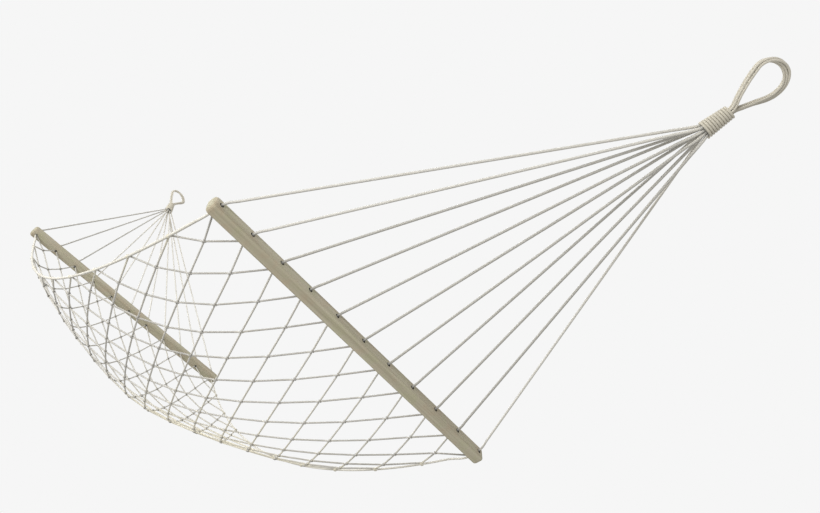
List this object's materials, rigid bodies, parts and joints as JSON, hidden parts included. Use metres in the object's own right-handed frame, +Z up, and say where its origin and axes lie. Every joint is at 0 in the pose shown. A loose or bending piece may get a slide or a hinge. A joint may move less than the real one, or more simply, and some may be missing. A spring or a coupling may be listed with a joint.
{
  "type": "rope hammock",
  "caption": "Knotted rope hammock with drilled wooden spreader bars, fanned suspension cords bound by a whipping at each end, and rope loops to hang it from hooks.",
  "frame": {"origin": "where the hook bears on the inside of the near hanging loop", "axes": "+X along the hammock towards the near loop, +Y along the spreader bars, +Z up"},
  "size_m": [2.7464, 0.794, 0.8901],
  "materials": {
    "bar_wood": "bare planed wood, weathered grey-brown",
    "suspension_rope": "twisted cotton cord, off-white",
    "net_rope": "twisted cotton cord, off-white",
    "edge_rope": "twisted rope, cream"
  },
  "bodies": {
    "hanging_loops": {"near_hanging_loop": "suspension_rope", "far_hanging_loop": "suspension_rope"},
    "bed": {"near_spreader_bar": "bar_wood", "far_spreader_bar": "bar_wood", "near_suspension_cord_01": "suspension_rope", "near_suspension_cord_02": "suspension_rope", "near_suspension_cord_03": "suspension_rope", "near_suspension_cord_04": "suspension_rope", "near_suspension_cord_05": "suspension_rope", "near_suspension_cord_06": "suspension_rope", "near_suspension_cord_07": "suspension_rope", "near_suspension_cord_08": "suspension_rope", "near_suspension_cord_09": "suspension_rope", "near_suspension_cord_10": "suspension_rope", "near_suspension_cord_11": "suspension_rope", "far_suspension_cord_01": "suspension_rope", "far_suspension_cord_02": "suspension_rope", "far_suspension_cord_03": "suspension_rope", "far_suspension_cord_04": "suspension_rope", "far_suspension_cord_05": "suspension_rope", "far_suspension_cord_06": "suspension_rope", "far_suspension_cord_07": "suspension_rope", "far_suspension_cord_08": "suspension_rope", "far_suspension_cord_09": "suspension_rope", "far_suspension_cord_10": "suspension_rope", "far_suspension_cord_11": "suspension_rope", "near_whipping": "suspension_rope", "far_whipping": "suspension_rope", "left_edge_rope": "edge_rope", "right_edge_rope": "edge_rope", "net_course_01": "net_rope", "net_course_02": "net_rope", "net_course_03": "net_rope", "net_course_04": "net_rope", "net_course_05": "net_rope", "net_course_06": "net_rope", "net_course_07": "net_rope", "net_course_08": "net_rope", "net_course_09": "net_rope", "net_course_10": "net_rope", "net_course_11": "net_rope", "net_course_12": "net_rope", "net_course_13": "net_rope", "net_course_14": "net_rope", "net_course_15": "net_rope", "net_course_16": "net_rope", "net_course_17": "net_rope", "net_course_18": "net_rope", "net_course_19": "net_rope", "net_course_20": "net_rope"}
  },
  "joints": [
    {"name": "swing", "type": "hinge", "parent": "hanging_loops", "child": "bed", "pos_m": [-1.3656, 0, -0.06964], "axis": [1, 0, 0], "range_deg": [-45, 45]}
  ]
}
